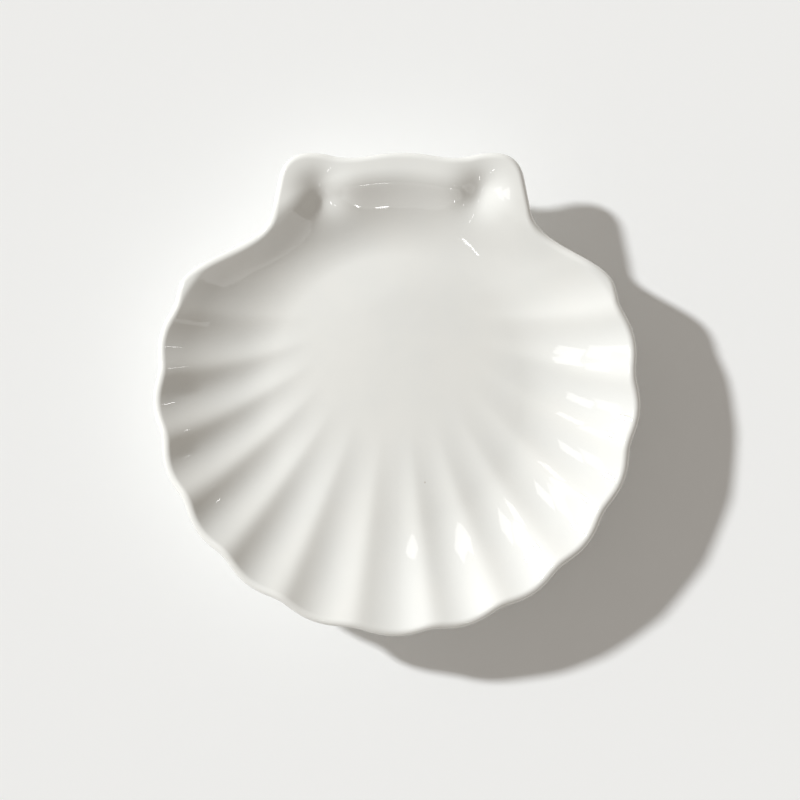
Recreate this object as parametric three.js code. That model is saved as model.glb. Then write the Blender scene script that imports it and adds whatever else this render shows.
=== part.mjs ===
// A scallop-shell dish in glazed porcelain: a fluted bowl with a hinge and two ears,
// standing on a foot ring that is stuck to its underside with slip before firing.
// Millimetres. +Z is up, +Y points to the hinge and +X to the right.
// The origin lies on the table under the middle of the dish.

import * as THREE from "three";
import { ParametricGeometry } from "three/addons/geometries/ParametricGeometry.js";

const { clamp, degToRad, lerp, smoothstep } = THREE.MathUtils;

// Overall sizes
const DISH_WIDTH = 130.8; // across the fan
const DISH_LENGTH = 129.5; // front lobe to hinge edge
const DISH_HEIGHT = 21.6; // table to the highest point of the rim
const WALL = 2.8; // thickness of the porcelain, rounded over at the rim

// Fan and flutes
const FLUTE_COUNT = 15; // lobes of the rim, each the end of a hollow flute
const FAN_ANGLE = 240; // degrees between the first lobe and the last
const SCALLOP_DEPTH = 1.2; // how far the lobes stand out past the notches
const FLUTE_DEPTH = 1.3; // from ridge to hollow
const RIDGE_ROUND = 0.24; // 0 makes the ridges between the flutes sharp, 1 makes them very round
const FLUTE_START = 22; // the flutes rise out of the floor at this radius
const FLUTE_FULL = 60; // and have their full depth at this one
const FLUTE_FADE_START = 75; // degrees from the front lobe, where the flutes begin to flatten
const FLUTE_FADE_END = 135; // degrees from the front lobe, where they are gone
const FLUTE_DRIFT = 4; // degrees, how much further round the flutes of the left half lie at most
const UMBO_SETBACK = 24; // from the centre of the fan to the point the flutes spring from
const FLUTE_BEND = 0.6; // 0 sends the flutes straight to the rim, 1 bends them most

// Floor and wall
const FLOOR_RADIUS = 33; // where the floor ends and the wall curves up
const FLOOR_SHIFT = 7; // how far the floor is moved towards the front lobe
const FLOOR_TILT = 1; // how much higher the floor lies at the front than in the middle
const FLOOR_THICKNESS = 4.8; // in the middle, over the foot ring's seat and without the swelling
const WALL_BEND = 27; // the floor bends up over this width, and the wall goes on straight
const FLOOR_CROWN = 1.3; // how far the middle of the floor swells
const CROWN_START = 16; // that swelling is flat inside this radius
const CROWN_RADIUS = 40; // and ends at this one
const ROUND_RADIUS = 40; // inside this radius the dish is round, outside it takes the rim's outline

// Hinge, necks and ears
const HINGE_SHIFT = 1.2; // the hinge sits a little to the right of the fan
const EAR_SPAN = 63; // between the corners of the ears
const EAR_ROUND = 7; // rounding of those corners
const HINGE_WAVE = 1.3; // depth of the two dips in the hinge edge
const NECK_SPAN = 69.2; // between the necks, where the ears meet the shoulders
const NECK_SETBACK = 15.5; // from the hinge edge to the necks
const NECK_ROUND = 10; // rounding of the necks
const SHOULDER_LEAD = 4; // degrees before the last lobe, where the rim turns into the shoulder
const SHOULDER_ROUND = 8; // rounding of the shoulders
const LEDGE_START = 106; // degrees from the front lobe, where the wall begins to end in a ledge
const HINGE_LEDGE = 6.2; // flat top of the hinge between the round wall and the hinge edge
const LEDGE_ROUND = 2; // softness of the step from the wall to that ledge
const HOLLOW_SPAN = 44; // between the hollows of the two ears
const HOLLOW_SETBACK = 10; // from the hinge edge to the hollows
const HOLLOW_RADIUS = 5.5;
const HOLLOW_DEPTH = 3.2;

// Foot ring
const FOOT_HEIGHT = 6.5;
const FOOT_DIAMETER = 58; // outside, at the bowl
const FOOT_WIDTH = 6; // of the ring, at the bowl
const FOOT_LAND = 3.4; // flat face that stands on the table
const FOOT_EDGE = 0.5; // bevel beside that face
const FOOT_SETBACK = 2; // from the middle of the dish towards the hinge
const SEAT_MARGIN = 4; // the flat seat under the bowl is this much wider than the ring
const SEAT_BLEND = 8; // and runs into the round underside over this width

// Mesh steps
const STEPS_PER_FLUTE = 8;
const HINGE_STEPS = 64;
const UNDERSIDE_ROWS = 13;
const RIM_ROWS = 5;
const INSIDE_ROWS = 14;
const FOOT_STEPS = 96;

const fanRadius = DISH_WIDTH / 2;
const fanCentreY = fanRadius - DISH_LENGTH / 2;
const fanHalf = degToRad(FAN_ANGLE) / 2;
const flutePitch = (2 * fanHalf) / (FLUTE_COUNT - 1);
const hingeY = DISH_LENGTH / 2;
const shoulder = fanHalf - degToRad(SHOULDER_LEAD);
const earBearing = Math.PI - Math.atan2(EAR_SPAN / 2, hingeY - fanCentreY);
const halfWall = WALL / 2;
const roundRadius = fanRadius - halfWall - SCALLOP_DEPTH / 2;
const floorLevel = FOOT_HEIGHT + FLOOR_THICKNESS - halfWall;
const wallRise = DISH_HEIGHT - halfWall - FLUTE_DEPTH / 2 - floorLevel;
const footRadius = FOOT_DIAMETER / 2;

// The outline of the rim, seen from above. A bearing is an angle from the front lobe, positive to the right.

// How much further round the flutes of the left half lie, most a third of the way to the last lobe.
function fluteDrift(bearing) {
  const leftShare = clamp(-bearing / fanHalf, 0, 1);
  const largest = 4 / 27;
  return (degToRad(FLUTE_DRIFT) * leftShare * (1 - leftShare) ** 2) / largest;
}

// 1 in the middle of a flute and at its lobe, 0 on the ridges and notches between.
function fluteHollow(bearing) {
  const across = Math.cos((Math.PI * (bearing + fluteDrift(bearing) + fanHalf)) / flutePitch);
  const hollow = Math.hypot(across, RIDGE_ROUND) - RIDGE_ROUND;
  return hollow / (Math.hypot(1, RIDGE_ROUND) - RIDGE_ROUND);
}

function fanPoint(bearing) {
  const radius = fanRadius - SCALLOP_DEPTH * (1 - fluteHollow(bearing));
  return new THREE.Vector2(radius * Math.sin(bearing), fanCentreY - radius * Math.cos(bearing));
}

// The points of one half of the hinge, from the last lobe over the ear to the dip beside it.
function hingeHalf(side) {
  const at = (x, y) => new THREE.Vector2(HINGE_SHIFT + side * x, y);
  const step = 0.01;
  const lobe = fanPoint(side * shoulder);
  const alongRim = lobe.clone().sub(fanPoint(side * (shoulder - step))).normalize();
  const neck = at(NECK_SPAN / 2, hingeY - NECK_SETBACK);
  const ear = at(EAR_SPAN / 2, hingeY);
  const alongEar = ear.clone().sub(neck).normalize();
  return {
    lobe,
    lobeHandle: lobe.clone().addScaledVector(alongRim, SHOULDER_ROUND),
    neckHandle: neck.clone().addScaledVector(alongEar, -NECK_ROUND),
    neck,
    earSide: ear.clone().addScaledVector(alongEar, -EAR_ROUND),
    ear,
    earTop: at(EAR_SPAN / 2 - EAR_ROUND, hingeY),
    dip: at((EAR_SPAN - EAR_ROUND) / 4, hingeY - HINGE_WAVE),
  };
}

// From the last lobe on the right, along the hinge, to the last lobe on the left.
function hingePath() {
  const right = hingeHalf(1);
  const left = hingeHalf(-1);
  const middle = new THREE.Vector2(HINGE_SHIFT, hingeY);
  const path = new THREE.Path();
  const bendTo = (a, b, end) => path.bezierCurveTo(a.x, a.y, b.x, b.y, end.x, end.y);
  const roundTo = (corner, end) => path.quadraticCurveTo(corner.x, corner.y, end.x, end.y);
  const waveTo = (end) => {
    const start = path.currentPoint.clone();
    const halfway = (start.x + end.x) / 2;
    path.bezierCurveTo(halfway, start.y, halfway, end.y, end.x, end.y);
  };
  path.moveTo(right.lobe.x, right.lobe.y);
  bendTo(right.lobeHandle, right.neckHandle, right.neck);
  path.lineTo(right.earSide.x, right.earSide.y);
  roundTo(right.ear, right.earTop);
  [right.dip, middle, left.dip, left.earTop].forEach(waveTo);
  roundTo(left.ear, left.earSide);
  path.lineTo(left.neck.x, left.neck.y);
  bendTo(left.neckHandle, left.lobeHandle, left.lobe);
  return path;
}

// Anticlockwise, from the last lobe on the left round the front to the last lobe on the right and the hinge.
function rimOutline() {
  const fanSteps = (FLUTE_COUNT - 1) * STEPS_PER_FLUTE;
  const fanBearing = (i) => lerp(-shoulder, shoulder, i / fanSteps);
  const fan = Array.from({ length: fanSteps + 1 }, (_, i) => fanPoint(fanBearing(i)));
  const hinge = hingePath().getSpacedPoints(HINGE_STEPS).slice(1, -1);
  return [...fan, ...hinge];
}

function inset(outline, distance) {
  const count = outline.length;
  return outline.map((point, i) => {
    const along = outline[(i + 1) % count].clone().sub(outline[(i + count - 1) % count]).normalize();
    return new THREE.Vector2(point.x - distance * along.y, point.y + distance * along.x);
  });
}

// The columns run from the umbo to the middle of the wall at the rim.
const columns = inset(rimOutline(), halfWall).map((edge) => {
  const arm = new THREE.Vector2(edge.x, edge.y - fanCentreY);
  const bearing = Math.atan2(arm.x, -arm.y);
  return {
    radius: arm.length(),
    bearing,
    heading: arm.clone().normalize(),
    // 0 on the fan, 1 between the ears
    hinge: smoothstep(Math.abs(bearing), degToRad(LEDGE_START), earBearing),
  };
});

// The middle of the porcelain wall. share runs from 0 at the umbo to 1 at the rim.

// The smaller of two heights, with the corner between them rounded over the given span.
function softMinimum(a, b, span) {
  const mix = clamp(0.5 + (0.5 * (b - a)) / span, 0, 1);
  return lerp(b, a, mix) - span * mix * (1 - mix);
}

function wallHeight(reach, share, column) {
  const floorHeight = FLOOR_TILT * share * Math.cos(column.bearing);
  const floorEdge = FLOOR_RADIUS + FLOOR_SHIFT * Math.cos(column.bearing);
  const wallTop = roundRadius - HINGE_LEDGE * column.hinge;
  const bend = Math.min(WALL_BEND, wallTop - floorEdge);
  const climb = Math.max(0, reach - floorEdge);
  const bent = Math.min(climb, bend);
  const climbed = climb - bent + bent ** 2 / (2 * bend);
  const height = lerp(floorHeight, wallRise, climbed / (wallTop - floorEdge - bend / 2));
  return column.hinge > 0 ? softMinimum(height, wallRise, LEDGE_ROUND * column.hinge) : height;
}

function fluteHeight(reach, bearing) {
  const rising = smoothstep(reach, FLUTE_START, FLUTE_FULL);
  const fading = 1 - smoothstep(Math.abs(bearing), degToRad(FLUTE_FADE_START), degToRad(FLUTE_FADE_END));
  return FLUTE_DEPTH * rising * fading * (0.5 - fluteHollow(bearing));
}

function earHollow(x, y) {
  const along = Math.abs(x - HINGE_SHIFT) - HOLLOW_SPAN / 2;
  const across = y - (hingeY - HOLLOW_SETBACK);
  return -HOLLOW_DEPTH * Math.exp(-(along ** 2 + across ** 2) / HOLLOW_RADIUS ** 2);
}

function midWall(column, share) {
  const run = share * roundRadius;
  const outlineShare = smoothstep(run, ROUND_RADIUS, roundRadius);
  const radius = share * lerp(roundRadius, column.radius, outlineShare);
  const umboShare = 1 - (1 + FLUTE_BEND) * share + FLUTE_BEND * share ** 2;
  const x = radius * column.heading.x;
  const y = fanCentreY + radius * column.heading.y + UMBO_SETBACK * umboShare;
  // The wall follows the rim on the fan and stays round at the hinge.
  const reach = lerp(run, radius, column.hinge);
  const crown = FLOOR_CROWN * (1 - smoothstep(reach, CROWN_START, CROWN_RADIUS));
  const wall = wallHeight(reach, share, column);
  const flutes = fluteHeight(reach, column.bearing);
  return new THREE.Vector3(x, y, floorLevel + wall + flutes + crown + earHollow(x, y));
}

// The wall at one place: its middle, the direction out of its upper face and the one out over the rim.
function wallFrame(index, share) {
  const step = 0.002;
  const count = columns.length;
  const column = columns[index];
  const middle = midWall(column, share);
  if (share === 0) {
    return { middle, up: new THREE.Vector3(0, 0, 1), out: new THREE.Vector3() };
  }
  const outward = midWall(column, Math.min(1, share + step)).sub(midWall(column, share - step));
  const next = midWall(columns[(index + 1) % count], share);
  const along = next.sub(midWall(columns[(index + count - 1) % count], share)).normalize();
  const up = outward.cross(along).normalize();
  const out = along.cross(up).normalize();
  return { middle, up, out };
}

// The underside is flat where the foot ring sits and follows the wall elsewhere.
function seatOnFoot(point) {
  const fromFoot = Math.hypot(point.x, point.y - FOOT_SETBACK) - footRadius - SEAT_MARGIN;
  const free = smoothstep(fromFoot, 0, SEAT_BLEND);
  point.z = lerp(FOOT_HEIGHT, Math.max(FOOT_HEIGHT, point.z), free);
  return point;
}

function bowl() {
  const rows = UNDERSIDE_ROWS + RIM_ROWS + INSIDE_ROWS;
  const crowding = 1.5; // above 1 the rows lie closer together towards the rim
  const closerToRim = (part) => 1 - (1 - part) ** crowding;
  const surface = (u, v, target) => {
    const index = Math.round(u * columns.length) % columns.length;
    const row = Math.round(v * rows);
    const insideRow = rows - row;
    if (row <= UNDERSIDE_ROWS) {
      const { middle, up } = wallFrame(index, closerToRim(row / UNDERSIDE_ROWS));
      target.copy(seatOnFoot(middle.addScaledVector(up, -halfWall)));
    } else if (insideRow <= INSIDE_ROWS) {
      const { middle, up } = wallFrame(index, closerToRim(insideRow / INSIDE_ROWS));
      target.copy(middle.addScaledVector(up, halfWall));
    } else {
      const turn = (Math.PI * (insideRow - INSIDE_ROWS)) / RIM_ROWS;
      const { middle, up, out } = wallFrame(index, 1);
      middle.addScaledVector(up, halfWall * Math.cos(turn));
      target.copy(middle.addScaledVector(out, halfWall * Math.sin(turn)));
    }
  };
  const geometry = new ParametricGeometry(surface, columns.length, rows);
  const glaze = new THREE.MeshStandardMaterial({ color: 0xe6e5e0, roughness: 0.12, metalness: 0 });
  const mesh = new THREE.Mesh(geometry, glaze);
  mesh.name = "shell_bowl";
  return mesh;
}

function footRing() {
  const inner = footRadius - FOOT_WIDTH;
  const middle = footRadius - FOOT_WIDTH / 2;
  const halfLand = FOOT_LAND / 2;
  const profile = [
    [inner, FOOT_HEIGHT],
    [middle - halfLand - FOOT_EDGE, FOOT_EDGE],
    [middle - halfLand, 0],
    [middle + halfLand, 0],
    [middle + halfLand + FOOT_EDGE, FOOT_EDGE],
    [footRadius, FOOT_HEIGHT],
    [inner, FOOT_HEIGHT],
  ].map(([radius, height]) => new THREE.Vector2(radius, height));
  const geometry = new THREE.LatheGeometry(profile, FOOT_STEPS).rotateX(Math.PI / 2);
  const biscuit = new THREE.MeshStandardMaterial({ color: 0xdad4c8, roughness: 0.8, metalness: 0 });
  const mesh = new THREE.Mesh(geometry, biscuit);
  mesh.name = "foot_ring";
  mesh.position.y = FOOT_SETBACK;
  return mesh;
}

const dish = new THREE.Group();
dish.add(bowl(), footRing());

export default dish;
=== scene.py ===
import math
from types import SimpleNamespace

import bpy
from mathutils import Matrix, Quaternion, Vector


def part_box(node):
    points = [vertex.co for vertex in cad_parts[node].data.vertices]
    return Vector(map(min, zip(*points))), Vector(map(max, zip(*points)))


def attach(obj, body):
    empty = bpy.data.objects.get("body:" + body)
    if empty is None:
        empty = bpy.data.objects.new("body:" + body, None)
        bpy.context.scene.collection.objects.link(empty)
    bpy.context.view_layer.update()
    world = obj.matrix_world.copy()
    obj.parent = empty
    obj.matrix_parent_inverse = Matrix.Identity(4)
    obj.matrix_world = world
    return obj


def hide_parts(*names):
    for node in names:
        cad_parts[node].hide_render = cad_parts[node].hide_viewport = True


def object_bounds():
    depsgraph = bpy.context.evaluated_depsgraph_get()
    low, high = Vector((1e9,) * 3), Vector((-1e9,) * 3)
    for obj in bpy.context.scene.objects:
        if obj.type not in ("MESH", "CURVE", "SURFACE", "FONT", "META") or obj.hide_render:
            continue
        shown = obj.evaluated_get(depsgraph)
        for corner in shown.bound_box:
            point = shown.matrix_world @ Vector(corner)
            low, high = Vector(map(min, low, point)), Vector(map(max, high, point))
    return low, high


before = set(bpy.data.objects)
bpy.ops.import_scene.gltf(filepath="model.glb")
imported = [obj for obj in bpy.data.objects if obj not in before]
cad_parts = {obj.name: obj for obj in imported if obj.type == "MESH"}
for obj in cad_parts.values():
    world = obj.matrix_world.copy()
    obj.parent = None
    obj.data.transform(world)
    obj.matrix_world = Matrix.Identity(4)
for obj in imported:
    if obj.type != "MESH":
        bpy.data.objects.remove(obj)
cad_low, cad_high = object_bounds()

# The shell bowl
# One casting of white porcelain in the form of a scallop shell, dipped in clear glaze and fired glossy.
# Fan, hinge and ears are one wall of even thickness, rounded over at the rim and flat under the floor.
MM = 0.001
bowl_sizes = {
    "Dish width": 130.8 * MM,
    "Dish length": 129.5 * MM,
    "Dish height": 21.6 * MM,
    "Wall": 2.8 * MM,
    "Flute count": 15,
    "Fan angle": math.radians(240),
    "Scallop depth": 1.2 * MM,
    "Flute depth": 1.1 * MM,
    "Ridge round": 0.34,
    "Flute drift": math.radians(4),
    "Flute start": 21 * MM,
    "Flute full": 55 * MM,
    "Flute fade start": math.radians(88),
    "Flute fade end": math.radians(135),
    "Umbo setback": 24 * MM,
    "Flute bend": 0.6,
    "Floor radius": 33 * MM,
    "Floor shift": 7 * MM,
    "Floor tilt": 1 * MM,
    "Floor thickness": 4.8 * MM,
    "Wall bend": 27 * MM,
    "Floor crown": 1.4 * MM,
    "Crown start": 4 * MM,
    "Crown radius": 42 * MM,
    "Round radius": 40 * MM,
    "Hinge shift": 1.2 * MM,
    "Ear span": 63 * MM,
    "Shoulder lead": math.radians(4),
    "Ledge start": math.radians(106),
    "Hinge ledge": 6.2 * MM,
    "Ledge round": 1.4 * MM,
    "Hollow span": 43.2 * MM,
    "Hollow setback": 10 * MM,
    "Hollow radius": 5.5 * MM,
    "Hollow depth": 3.2 * MM,
    "Seat height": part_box("foot_ring")[1].z,
    "Seat radius": 33 * MM,
    "Seat blend": 8 * MM,
    "Seat setback": 2 * MM,
}
rim_sizes = {
    **bowl_sizes,
    "Shoulder round": 8 * MM,
    "Neck span": 69.2 * MM,
    "Neck setback": 15.5 * MM,
    "Neck round": 10 * MM,
    "Ear round": 7 * MM,
    "Hinge wave": 1.3 * MM,
}
bowl_counts = {"Columns": 640, "Wall rows": 64, "Rim rows": 12}


class Field:
    """A number that changes over a surface, wired up with Math nodes where it is used in a formula."""

    def __init__(self, socket):
        self.socket = socket

    def __add__(self, other):
        return math_node("ADD", self, other)

    def __radd__(self, other):
        return math_node("ADD", other, self)

    def __sub__(self, other):
        return math_node("SUBTRACT", self, other)

    def __rsub__(self, other):
        return math_node("SUBTRACT", other, self)

    def __mul__(self, other):
        return math_node("MULTIPLY", self, other)

    def __rmul__(self, other):
        return math_node("MULTIPLY", other, self)

    def __truediv__(self, other):
        return math_node("DIVIDE", self, other)

    def __pow__(self, other):
        return math_node("POWER", self, other)


def plug(value, socket):
    """Link a field or another socket into a socket, or write a plain value there."""
    if isinstance(value, Field):
        socket.id_data.links.new(value.socket, socket)
    elif isinstance(value, bpy.types.NodeSocket):
        socket.id_data.links.new(value, socket)
    else:
        socket.default_value = value


def node_with(tree, kind, links=None, **settings):
    """A new node with its settings, and with its inputs linked or filled in."""
    node = tree.nodes.new(kind)
    for name, value in settings.items():
        setattr(node, name, value)
    for name, value in (links or {}).items():
        plug(value, node.inputs[name])
    return node


def tree_of(values):
    return next(value.socket.id_data for value in values if isinstance(value, Field))


def math_node(operation, *values, clamp=False):
    node = node_with(tree_of(values), "ShaderNodeMath", operation=operation, use_clamp=clamp)
    for value, socket in zip(values, node.inputs):
        plug(value, socket)
    return Field(node.outputs[0])


def cosine(value):
    return math_node("COSINE", value) if isinstance(value, Field) else math.cos(value)


def square_root(value):
    return math_node("SQRT", value) if isinstance(value, Field) else math.sqrt(value)


def clamped(value):
    """The value itself, but not below 0 or above 1."""
    return math_node("ADD", value, 0.0, clamp=True) if isinstance(value, Field) else min(max(value, 0), 1)


def smooth_between(value, low, high):
    """0 below low, 1 above high and an S-curve between them."""
    links = {"Value": value, "From Min": low, "From Max": high}
    node = node_with(tree_of([value]), "ShaderNodeMapRange", links, interpolation_type="SMOOTHSTEP")
    return Field(node.outputs["Result"])


def blend(first, second, share):
    return first + (second - first) * share


def parts_of(vector):
    node = node_with(vector.id_data, "ShaderNodeSeparateXYZ", {"Vector": vector})
    return [Field(output) for output in node.outputs]


def vector_of(x, y, z):
    node = node_with(tree_of((x, y, z)), "ShaderNodeCombineXYZ", {"X": x, "Y": y, "Z": z})
    return node.outputs[0]


def vector_math(operation, *vectors, scale=None):
    node = node_with(vectors[0].id_data, "ShaderNodeVectorMath", operation=operation)
    for vector, socket in zip(vectors, node.inputs):
        plug(vector, socket)
    if scale is not None:
        plug(scale, node.inputs["Scale"])
    return node.outputs[0]


def fan_measures(size):
    """What the rim and the wall both take from the dish's sizes, which are numbers or fields."""
    radius = size["Dish width"] * 0.5
    hinge_y = size["Dish length"] * 0.5
    half_angle = size["Fan angle"] * 0.5
    return SimpleNamespace(
        radius=radius,
        hinge_y=hinge_y,
        centre_y=radius - hinge_y,
        half_angle=half_angle,
        shoulder=half_angle - size["Shoulder lead"],
        pitch=size["Fan angle"] / (size["Flute count"] - 1),
    )


def flute_hollow(size, fan, bearing):
    """0 on a ridge and 1 in the middle of a flute. The flutes on the left lie a little further round."""
    left_share = clamped(bearing / fan.half_angle * -1)
    highest_product = 4 / 27
    drift = size["Flute drift"] / highest_product * left_share * (1 - left_share) ** 2
    across = cosine((bearing + drift + fan.half_angle) / fan.pitch * math.pi)
    ridge = size["Ridge round"]
    wave = square_root(across * across + ridge * ridge) - ridge
    return wave / (square_root(1 + ridge * ridge) - ridge)


def rim_points(size):
    """The rim seen from above, anticlockwise: each point with the handles before and after it."""
    fan = fan_measures(size)
    arc_handle = 2 / 3

    def fan_point(bearing):
        radius = fan.radius - size["Scallop depth"] * (1 - flute_hollow(size, fan, bearing))
        return Vector((radius * math.sin(bearing), fan.centre_y - radius * math.cos(bearing), 0))

    def shoulder_point(side):
        short_turn = 0.01
        fan_handle = 0.4 * MM
        point = fan_point(side * fan.shoulder)
        onward = (point - fan_point(side * (fan.shoulder - short_turn))).normalized()
        return [point, point - fan_handle * onward, point + size["Shoulder round"] * onward]

    def hinge_half(side):
        def at(x, y):
            return Vector((size["Hinge shift"] + side * x, y, 0))

        neck = at(size["Neck span"] / 2, fan.hinge_y - size["Neck setback"])
        ear = at(size["Ear span"] / 2, fan.hinge_y)
        up_ear = (ear - neck).normalized()
        ear_side = ear - size["Ear round"] * up_ear
        ear_top = at(size["Ear span"] / 2 - size["Ear round"], fan.hinge_y)
        dip = at((size["Ear span"] - size["Ear round"]) / 4, fan.hinge_y - size["Hinge wave"])
        third = (ear_side - neck) / 3
        swing = Vector(((dip.x - ear_top.x) / 2, 0, 0))
        return [
            shoulder_point(side),
            [neck, neck - size["Neck round"] * up_ear, neck + third],
            [ear_side, ear_side - third, ear_side.lerp(ear, arc_handle)],
            [ear_top, ear_top.lerp(ear, arc_handle), ear_top + swing],
            [dip, dip - swing, dip + swing],
        ]

    points_per_flute = 8
    fan_steps = points_per_flute * (size["Flute count"] - 1)
    bearings = [fan.shoulder * (2 * step / fan_steps - 1) for step in range(1, fan_steps)]
    lobes = [[fan_point(bearing), None, None] for bearing in bearings]
    left = [[point, after, before] for point, before, after in reversed(hinge_half(-1))]
    middle = Vector((size["Hinge shift"], fan.hinge_y, 0))
    swing = Vector(((left[0][0].x - middle.x) / 2, 0, 0))
    return lobes + hinge_half(1) + [[middle, middle - swing, middle + swing]] + left


def closed_curve(name, points):
    """A flat Bezier curve. A point that has no handles of its own gets smooth ones."""
    steps_between_points = 24
    curve = bpy.data.curves.new(name, "CURVE")
    curve.dimensions = "2D"
    curve.fill_mode = "NONE"
    curve.resolution_u = steps_between_points
    spline = curve.splines.new("BEZIER")
    spline.bezier_points.add(len(points) - 1)
    spline.use_cyclic_u = True
    for bezier, (point, before, after) in zip(spline.bezier_points, points):
        bezier.co = point
        bezier.handle_left_type = "FREE" if before else "AUTO"
        bezier.handle_right_type = "FREE" if after else "AUTO"
        bezier.handle_left = before or point
        bezier.handle_right = after or point
    return curve


def new_tree(name, sizes, counts):
    """A Geometry Nodes tree with a named input for each size and count."""
    tree = bpy.data.node_groups.new(name, "GeometryNodeTree")
    tree.interface.new_socket("Geometry", in_out="INPUT", socket_type="NodeSocketGeometry")
    for size in sizes:
        tree.interface.new_socket(size, in_out="INPUT", socket_type="NodeSocketFloat")
    for count in counts:
        tree.interface.new_socket(count, in_out="INPUT", socket_type="NodeSocketInt")
    tree.interface.new_socket("Geometry", in_out="OUTPUT", socket_type="NodeSocketGeometry")
    return tree


def finish_tree(tree, geometry, material):
    """Ends a tree in plain geometry with its material."""
    realized = node_with(tree, "GeometryNodeRealizeInstances", {"Geometry": geometry}).outputs[0]
    links = {"Geometry": realized, "Material": material}
    dressed = node_with(tree, "GeometryNodeSetMaterial", links).outputs[0]
    plug(dressed, tree.nodes.new("NodeGroupOutput").inputs["Geometry"])


def swept(tree, rail, profile):
    return node_with(tree, "GeometryNodeCurveToMesh", {"Curve": rail, "Profile Curve": profile}).outputs[0]


def evenly_spaced(tree, curve, count):
    links = {"Curve": curve, "Count": count}
    return node_with(tree, "GeometryNodeResampleCurve", links, mode="COUNT").outputs[0]


def stacked_rings(tree, outline, count):
    """A tube of equal rings, whose points come ring by ring."""
    line = tree.nodes.new("GeometryNodeCurvePrimitiveLine").outputs[0]
    return swept(tree, evenly_spaced(tree, line, count), outline)


def moved(tree, mesh, place):
    return node_with(tree, "GeometryNodeSetPosition", {"Geometry": mesh, "Position": place}).outputs[0]


def sampled(tree, geometry, value, index):
    """A number or a vector of another geometry's point, picked by its index."""
    kind = "FLOAT" if isinstance(value, Field) else "FLOAT_VECTOR"
    links = {"Geometry": geometry, "Value": value, "Index": index}
    return node_with(tree, "GeometryNodeSampleIndex", links, data_type=kind).outputs["Value"]


def wall_spot(size, fan, edge, row):
    """Where a point of the wall's middle lies, seen from above: how far out, and how far round the fan."""
    rim_crowding = 1.5
    edge_x, edge_y, _ = parts_of(edge)
    arm_y = edge_y - fan.centre_y
    edge_radius = square_root(edge_x * edge_x + arm_y * arm_y)
    bearing = math_node("ARCTAN2", edge_x, arm_y * -1)
    turned = math_node("ABSOLUTE", bearing)

    # The rings are round over the floor and take on the rim's outline further out
    share = 1 - (1 - row / (size["Wall rows"] - 1)) ** rim_crowding
    round_radius = fan.radius - (size["Wall"] + size["Scallop depth"]) * 0.5
    run = share * round_radius
    to_rim = smooth_between(run, size["Round radius"], round_radius)
    radius = share * blend(round_radius, edge_radius, to_rim)

    # The smallest ring lies at the umbo near the hinge, where the flutes spring from
    umbo_share = 1 - (size["Flute bend"] + 1) * share + size["Flute bend"] * share * share
    return SimpleNamespace(
        x=radius * edge_x / edge_radius,
        y=fan.centre_y + radius * arm_y / edge_radius + size["Umbo setback"] * umbo_share,
        bearing=bearing,
        turned=turned,
        share=share,
        round_radius=round_radius,
        reach=blend(run, radius, smooth_between(turned, size["Ledge start"], fan.shoulder)),
    )


def lower_of(first, second, softness):
    """The lower of two heights, rounded over where they meet."""
    hair = 0.001 * MM
    room = math_node("MAXIMUM", softness, hair)
    share = clamped((second - first) / room * 0.5 + 0.5)
    return blend(second, first, share) - room * share * (1 - share)


def ledge_height(size, fan, spot, rise):
    """The floor and the wall that bends up from it, cut off by a flat ledge along the hinge."""
    ear_bearing = math.pi - math_node("ARCTAN2", size["Ear span"] * 0.5, fan.hinge_y - fan.centre_y)
    hinge = smooth_between(spot.turned, size["Ledge start"], ear_bearing)
    floor_edge = size["Floor radius"] + size["Floor shift"] * cosine(spot.bearing)
    wall_top = spot.round_radius - size["Hinge ledge"] * hinge

    # The wall leaves the floor in a parabola and goes on straight
    bend = math_node("MINIMUM", size["Wall bend"], wall_top - floor_edge)
    climb = math_node("MAXIMUM", spot.reach - floor_edge, 0.0)
    bent = math_node("MINIMUM", climb, bend)
    climbed = climb - bent + bent * bent / bend * 0.5
    floor_height = size["Floor tilt"] * spot.share * cosine(spot.bearing)
    wall = blend(floor_height, rise, climbed / (wall_top - floor_edge - bend * 0.5))
    return lower_of(wall, rise, size["Ledge round"] * hinge)


def flute_height(size, fan, spot):
    """The flutes as a share of their depth: up to 0.5 on a ridge and down to -0.5 in a hollow."""
    out_of_floor = smooth_between(spot.reach, size["Flute start"], size["Flute full"])
    off_hinge = 1 - smooth_between(spot.turned, size["Flute fade start"], size["Flute fade end"])
    return out_of_floor * off_hinge * (0.5 - flute_hollow(size, fan, spot.bearing))


def ear_hollow(size, fan, spot):
    """How deep the hollow in the nearer ear is at a spot."""
    off_x = math_node("ABSOLUTE", spot.x - size["Hinge shift"]) - size["Hollow span"] * 0.5
    off_y = spot.y - fan.hinge_y + size["Hollow setback"]
    off = (off_x * off_x + off_y * off_y) / (size["Hollow radius"] * size["Hollow radius"])
    return size["Hollow depth"] * math_node("EXPONENT", off * -1)


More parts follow.
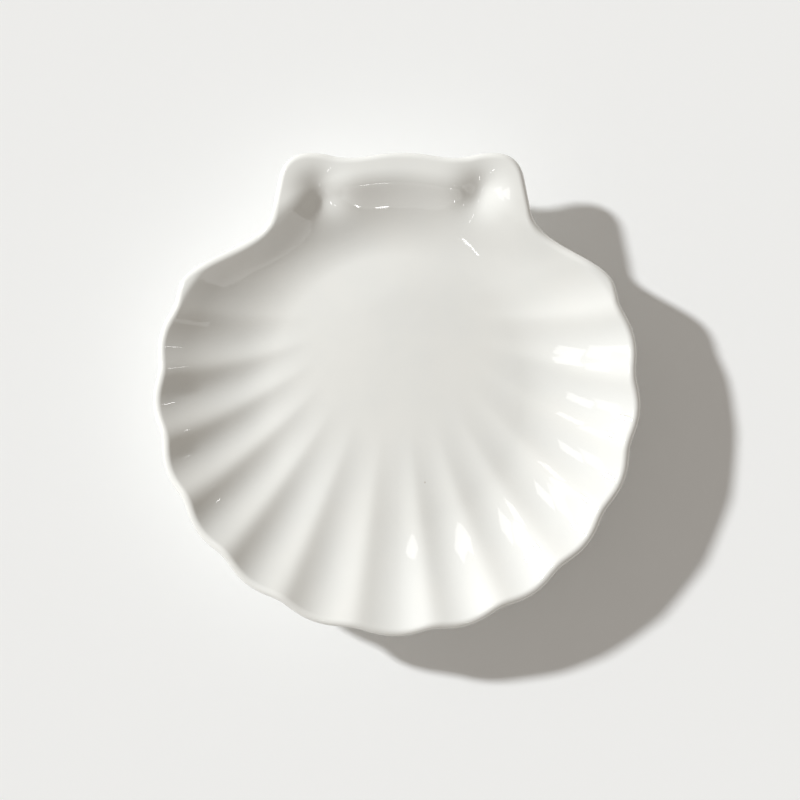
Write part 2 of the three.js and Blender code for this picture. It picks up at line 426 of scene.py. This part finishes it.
def shell_tree(sizes, counts, material):
    """Bends rings of the rim's outline into the middle of the wall, then lays the wall's faces beside it."""
    tree = new_tree("Scallop shell", sizes, counts)
    given = tree.nodes.new("NodeGroupInput").outputs
    size = {name: Field(given[name]) for name in (*sizes, *counts)}
    fan = fan_measures(size)
    position = tree.nodes.new("GeometryNodeInputPosition").outputs[0]
    normal = tree.nodes.new("GeometryNodeInputNormal").outputs[0]
    index = Field(tree.nodes.new("GeometryNodeInputIndex").outputs[0])
    columns = size["Columns"]
    row = math_node("FLOOR", (index + 0.5) / columns)
    column = index - row * columns
    half_wall = size["Wall"] * 0.5

    # The middle of the wall: floor, wall with the hinge's ledge, flutes, crown and ear hollows
    outline = evenly_spaced(tree, given["Geometry"], columns)
    run_x, run_y, _ = parts_of(tree.nodes.new("GeometryNodeInputTangent").outputs[0])
    inward = vector_of(run_y * half_wall * -1, run_x * half_wall, 0.0)
    edge = sampled(tree, outline, vector_math("ADD", position, inward), column)
    spot = wall_spot(size, fan, edge, row)
    flutes = flute_height(size, fan, spot)
    crown = size["Floor crown"] * (1 - smooth_between(spot.reach, size["Crown start"], size["Crown radius"]))
    floor_level = size["Seat height"] + size["Floor thickness"] - half_wall
    rise = size["Dish height"] - half_wall - size["Flute depth"] * 0.5 - floor_level
    height = ledge_height(size, fan, spot, rise) + size["Flute depth"] * flutes + crown
    z = floor_level + height - ear_hollow(size, fan, spot)
    middle = moved(tree, stacked_rings(tree, outline, size["Wall rows"]), vector_of(spot.x, spot.y, z))

    # The closed wall: out along the underside, over the rim, and back along the inside
    last_row = size["Wall rows"] - 1
    last_ring = last_row * 2 + size["Rim rows"]
    near_row = math_node("MINIMUM", math_node("MINIMUM", row, last_ring - row), last_row)
    over_rim = math_node("DIVIDE", row - last_row, size["Rim rows"], clamp=True) * math.pi

    def beside(value, step):
        neighbour = math_node("FLOORED_MODULO", column + step, columns)
        return sampled(tree, middle, value, near_row * columns + neighbour)

    # The columns meet in one point at the pole, so the wall's thickness is laid straight up and down there
    normal_x, normal_y, normal_z = parts_of(beside(normal, 0))
    off_pole = math_node("GREATER_THAN", near_row, 0.5)
    downward = vector_of(normal_x * off_pole, normal_y * off_pole, normal_z)
    along = vector_math("SUBTRACT", beside(position, 1), beside(position, -1))
    outward = vector_math("NORMALIZE", vector_math("CROSS_PRODUCT", downward, along))
    below = vector_math("SCALE", downward, scale=cosine(over_rim) * half_wall)
    beyond = vector_math("SCALE", outward, scale=math_node("SINE", over_rim) * half_wall)
    face = vector_math("ADD", beside(position, 0), vector_math("ADD", below, beyond))
    wall_x, wall_y, wall_z = parts_of(face)

    # The flat seat under the floor, which the foot ring is stuck to
    seat = size["Seat height"]
    seat_y = wall_y - size["Seat setback"]
    off_seat = square_root(wall_x * wall_x + seat_y * seat_y) - size["Seat radius"]
    underneath = math_node("LESS_THAN", row, last_row + 0.5)
    seated = underneath * (1 - smooth_between(off_seat, 0.0, size["Seat blend"]))
    lowest = blend(wall_z, math_node("MAXIMUM", wall_z, seat), underneath)
    place = vector_of(wall_x, wall_y, blend(lowest, seat, seated))
    shell = moved(tree, stacked_rings(tree, outline, last_ring + 1), place)

    # The glaze is thicker in the hollows of the flutes, thinner on the ridges and thinnest over the rim
    glaze_depth = (0.5 - Field(beside(flutes, 0))) * (1 - math_node("SINE", over_rim))
    links = {"Geometry": shell, "Name": "glaze_depth", "Value": glaze_depth}
    coated = node_with(tree, "GeometryNodeStoreNamedAttribute", links).outputs[0]

    # Each pole's points become one
    pole_width = 0.001 * MM
    links = {"Geometry": coated, "Distance": pole_width}
    joined = node_with(tree, "GeometryNodeMergeByDistance", links).outputs[0]
    finish_tree(tree, joined, material)
    return tree


def mesh_from_tree(name, base, tree, values):
    """Runs a tree on a curve or mesh and keeps the result as a plain mesh object at the origin."""
    source = bpy.data.objects.new(name + "_source", base)
    modifier = source.modifiers.new(tree.name, "NODES")
    modifier.node_group = tree
    for item in tree.interface.items_tree:
        if item.in_out == "INPUT" and item.name in values:
            modifier[item.identifier] = values[item.name]
    bpy.context.scene.collection.objects.link(source)
    graph = bpy.context.evaluated_depsgraph_get()
    mesh = bpy.data.meshes.new_from_object(source.evaluated_get(graph))
    mesh.name = name
    mesh.shade_smooth()
    bpy.data.objects.remove(source)
    piece = bpy.data.objects.new(name, mesh)
    bpy.context.scene.collection.objects.link(piece)
    return piece


def noise(tree, place, scale, detail):
    links = {"Vector": place, "Scale": scale, "Detail": detail}
    return Field(node_with(tree, "ShaderNodeTexNoise", links).outputs["Fac"])


def mixed(tree, share, first, second):
    """A colour between two others. The node enables only the sockets that mixing colours needs."""
    node = node_with(tree, "ShaderNodeMix", data_type="RGBA")
    colour_inputs = [socket for socket in node.inputs if socket.enabled]
    for value, socket in zip((share, first, second), colour_inputs):
        plug(value, socket)
    return next(socket for socket in node.outputs if socket.enabled)


def glaze_group():
    """The fired glaze: faint clouds in its colour, a few iron specks, its gloss and its slow waves."""
    tree = bpy.data.node_groups.new("Fired glaze", "ShaderNodeTree")
    tree.interface.new_socket("Depth", in_out="INPUT", socket_type="NodeSocketFloat")
    tree.interface.new_socket("Color", in_out="OUTPUT", socket_type="NodeSocketColor")
    tree.interface.new_socket("Roughness", in_out="OUTPUT", socket_type="NodeSocketFloat")
    tree.interface.new_socket("Height", in_out="OUTPUT", socket_type="NodeSocketFloat")
    depth = Field(tree.nodes.new("NodeGroupInput").outputs["Depth"])
    place = tree.nodes.new("ShaderNodeTexCoord").outputs["Object"]

    thin_glaze = (0.862, 0.854, 0.818, 1)
    thick_glaze = (0.836, 0.833, 0.803, 1)
    cloud_contrast = 3.0
    clouds = (noise(tree, place, scale=60.0, detail=5.0) - 0.5) * cloud_contrast
    porcelain = mixed(tree, clamped(depth + clouds), thin_glaze, thick_glaze)

    iron = (0.42, 0.34, 0.25, 1)
    iron_strength = 0.35
    speck_radius = 0.035
    clean_share = 0.8
    cells = node_with(tree, "ShaderNodeTexVoronoi", {"Vector": place, "Scale": 110.0})
    chance, _, _ = parts_of(cells.outputs["Color"])
    in_speck = math_node("LESS_THAN", Field(cells.outputs["Distance"]), speck_radius)
    specks = in_speck * math_node("GREATER_THAN", chance, clean_share) * iron_strength

    smoothest = 0.02
    dulling = 0.04
    output = tree.nodes.new("NodeGroupOutput").inputs
    plug(mixed(tree, specks, porcelain, iron), output["Color"])
    plug(smoothest + noise(tree, place, scale=60.0, detail=2.0) * dulling, output["Roughness"])
    plug(noise(tree, place, scale=110.0, detail=1.0), output["Height"])
    return tree


fired_glaze = glaze_group()


def glazed_material(name):
    """A new material with the fired glaze on it."""
    material = bpy.data.materials.new(name)
    material.use_nodes = True
    tree = material.node_tree
    shader = tree.nodes["Principled BSDF"].inputs
    shader["IOR"].default_value = 1.5
    depth = node_with(tree, "ShaderNodeAttribute", attribute_name="glaze_depth").outputs["Fac"]
    glaze = node_with(tree, "ShaderNodeGroup", node_tree=fired_glaze)
    plug(depth, glaze.inputs["Depth"])
    wave_height = 0.06 * MM
    waves = node_with(tree, "ShaderNodeBump", {"Height": glaze.outputs["Height"], "Distance": wave_height})
    plug(glaze.outputs["Color"], shader["Base Color"])
    plug(glaze.outputs["Roughness"], shader["Roughness"])
    plug(waves.outputs["Normal"], shader["Normal"])
    return material


rim = closed_curve("rim outline", rim_points(rim_sizes))
bowl_tree = shell_tree(bowl_sizes, bowl_counts, glazed_material("white_glaze"))
bowl = mesh_from_tree("glazed_shell", rim, bowl_tree, {**bowl_sizes, **bowl_counts})
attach(bowl, "root")
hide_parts("shell_bowl")

# The foot ring
# A low ring of the same porcelain, formed apart and stuck under the bowl with slip before firing.
# It is glazed with the bowl and then wiped at the bottom, so the land that stands on the table is bare.
foot_low, foot_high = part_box("foot_ring")
foot_sizes = {
    "Outer radius": (foot_high.x - foot_low.x) / 2,
    "Height": foot_high.z - foot_low.z,
    "Width at the bowl": 6 * MM,
    "Land": 3.4 * MM,
    "Edge": 0.9 * MM,
    "Setback": (foot_low.y + foot_high.y) / 2,
}
foot_counts = {"Steps around": 256, "Steps in an edge": 6}


def ring_tree(sizes, counts, material):
    """Sweeps a tapered block with rounded lower edges round a circle."""
    tree = new_tree("Foot ring", sizes, counts)
    given = tree.nodes.new("NodeGroupInput").outputs
    size = {name: Field(given[name]) for name in (*sizes, *counts)}

    radius = size["Outer radius"] - size["Width at the bowl"] * 0.5
    links = {"Resolution": size["Steps around"], "Radius": radius}
    rail = node_with(tree, "GeometryNodeCurvePrimitiveCircle", links).outputs[0]

    links = {
        "Bottom Width": size["Land"] + size["Edge"],
        "Top Width": size["Width at the bowl"],
        "Height": size["Height"],
        "Offset": 0.0,
    }
    block = node_with(tree, "GeometryNodeCurvePrimitiveQuadrilateral", links, mode="TRAPEZOID").outputs[0]
    _, block_y, _ = parts_of(tree.nodes.new("GeometryNodeInputPosition").outputs[0])
    lower_edge = math_node("LESS_THAN", block_y, 0.0) * size["Edge"]
    links = {"Curve": block, "Radius": lower_edge, "Count": size["Steps in an edge"]}
    rounded = node_with(tree, "GeometryNodeFilletCurve", links, mode="POLY").outputs[0]

    under_bowl = vector_of(0.0, size["Setback"], size["Height"] * 0.5)
    links = {"Geometry": swept(tree, rail, rounded), "Translation": under_bowl}
    finish_tree(tree, node_with(tree, "GeometryNodeTransform", links).outputs[0], material)
    return tree


def foot_material():
    """Glaze down to a wiped, slightly wavering line, and bare porcelain below it."""
    material = glazed_material("foot_porcelain")
    tree = material.node_tree
    shader = tree.nodes["Principled BSDF"].inputs
    glaze_colour, glaze_roughness, glaze_normal = (
        shader[name].links[0].from_socket for name in ("Base Color", "Roughness", "Normal")
    )
    place = tree.nodes.new("ShaderNodeTexCoord").outputs["Object"]
    _, _, height = parts_of(place)

    wiped_height = 1.1 * MM
    wavering = 0.6 * MM
    glaze_edge = 0.15 * MM
    line = wiped_height + noise(tree, place, scale=140.0, detail=2.0) * wavering
    bare = 1 - smooth_between(height - line, 0.0, glaze_edge)

    dark_clay = (0.70, 0.665, 0.60, 1)
    light_clay = (0.80, 0.77, 0.71, 1)
    clay_roughness = 0.82
    grain_height = 0.05 * MM
    grain = noise(tree, place, scale=2600.0, detail=3.0)
    clay = mixed(tree, grain, dark_clay, light_clay)
    links = {"Height": grain * bare, "Distance": grain_height, "Normal": glaze_normal}
    plug(mixed(tree, bare, glaze_colour, clay), shader["Base Color"])
    plug(blend(Field(glaze_roughness), clay_roughness, bare), shader["Roughness"])
    plug(node_with(tree, "ShaderNodeBump", links).outputs["Normal"], shader["Normal"])
    return material


# The tree makes the whole ring, so it starts from an empty mesh
foot_tree = ring_tree(foot_sizes, foot_counts, foot_material())
foot_start = bpy.data.meshes.new("foot start")
foot = mesh_from_tree("foot_of_porcelain", foot_start, foot_tree, {**foot_sizes, **foot_counts})
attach(foot, "root")
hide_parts("foot_ring")

# The floor
# A plain pale table top, which takes the dish's shadow.
# It isn't part of the dish.
FLOOR_HALF = 3.0
floor_mesh = bpy.data.meshes.new("table_top")
corner_signs = [(-1, -1), (1, -1), (1, 1), (-1, 1)]
corners = [(FLOOR_HALF * across, FLOOR_HALF * back, 0) for across, back in corner_signs]
floor_mesh.from_pydata(corners, [], [range(len(corners))])
floor = bpy.data.objects.new("table_top", floor_mesh)
bpy.context.scene.collection.objects.link(floor)
floor_material = bpy.data.materials.new("table_top")
floor_material.use_nodes = True
floor_shader = floor_material.node_tree.nodes["Principled BSDF"]
floor_shader.inputs["Base Color"].default_value = (0.93, 0.93, 0.925, 1)
floor_shader.inputs["Roughness"].default_value = 0.9
floor_mesh.materials.append(floor_material)

# The light
# A low key lamp at the upper left throws the shadow, and an even, slightly warm room fills it in.
# Cards that show only as reflections in the glaze stand for the windows, walls and lamps of a studio.
LAMP_DISTANCE = 1.2


def direction(heading, elevation):
    """Towards a place given in degrees: heading clockwise from the hinge side, elevation above the table."""
    level = math.cos(math.radians(elevation))
    turn = math.radians(heading)
    return Vector((level * math.sin(turn), level * math.cos(turn), math.sin(math.radians(elevation))))


def hung_lamp(name, kind, towards, roll=0):
    """A lamp that shines on the dish from a direction, turned about its own beam by the roll in degrees."""
    lamp = bpy.data.lights.new(name, kind)
    stand = bpy.data.objects.new(name, lamp)
    stand.location = towards * LAMP_DISTANCE
    stand.rotation_mode = "QUATERNION"
    stand.rotation_quaternion = towards.to_track_quat("Z", "Y") @ Quaternion((0, 0, 1), math.radians(roll))
    bpy.context.scene.collection.objects.link(stand)
    return stand


key = hung_lamp("key", "SUN", direction(heading=-63.3, elevation=33.4)).data
key.energy = 3.28
key.angle = math.radians(4)
key.color = (0.95, 0.98, 1)


def reflected_card(name, heading, elevation, width, height, radiance, roll=0):
    """A card that only shows as a reflection, with its place and size in degrees as seen from the dish."""
    stand = hung_lamp(name, "AREA", direction(heading, elevation), roll)
    stand.visible_diffuse = False
    card = stand.data
    card.shape = "RECTANGLE"
    card.size = 2 * LAMP_DISTANCE * math.tan(math.radians(width) / 2)
    card.size_y = 2 * LAMP_DISTANCE * math.tan(math.radians(height) / 2)
    card.energy = radiance * math.pi * card.size * card.size_y


reflected_card("left window", heading=-68, elevation=59, width=16, height=16, radiance=2.8)
reflected_card("lower pane", heading=-80, elevation=43, width=20, height=13, radiance=1.8)
reflected_card("front wall", heading=180, elevation=21, width=40, height=18, radiance=0.9)
reflected_card("right wall", heading=140, elevation=22, width=15, height=26, radiance=1.1)
reflected_card("low front lamp", heading=175, elevation=29, width=3, height=1.2, radiance=18)
reflected_card("high front lamp", heading=163, elevation=42, width=2, height=2, radiance=16)
reflected_card("strip lamp", heading=-152, elevation=56, width=0.7, height=12, radiance=14, roll=19)
reflected_card("right lamp", heading=84, elevation=36, width=1, height=3, radiance=12)

world = bpy.data.worlds.new("room")
world.use_nodes = True
room = world.node_tree.nodes["Background"]
room.inputs["Color"].default_value = (1, 0.94, 0.865, 1)
room.inputs["Strength"].default_value = 0.355
bpy.context.scene.world = world

# The camera
# Straight above the dish and far off, with a long lens, as the photograph is taken.
# The photograph is square, and 130 mm at the height of the rim take up 486 of its pixels.
LENS = 240
SENSOR = 36
PHOTO_SIDE = 800
MEASURED_PIXELS = 486
MEASURED_WIDTH = 130 * MM
AIM_RIGHT = 0.8 * MM
AIM_FORWARD = 1.47 * MM
camera = bpy.data.cameras.new("overhead")
camera.lens = LENS
camera.sensor_width = SENSOR
camera_stand = bpy.data.objects.new("overhead", camera)
view_width = MEASURED_WIDTH * PHOTO_SIDE / MEASURED_PIXELS
rim_aim = Vector((AIM_RIGHT, -AIM_FORWARD, cad_high.z))
camera_stand.location = rim_aim + Vector((0, 0, view_width * LENS / SENSOR))
bpy.context.scene.collection.objects.link(camera_stand)
bpy.context.scene.camera = camera_stand
bpy.context.scene.view_settings.view_transform = "Standard"
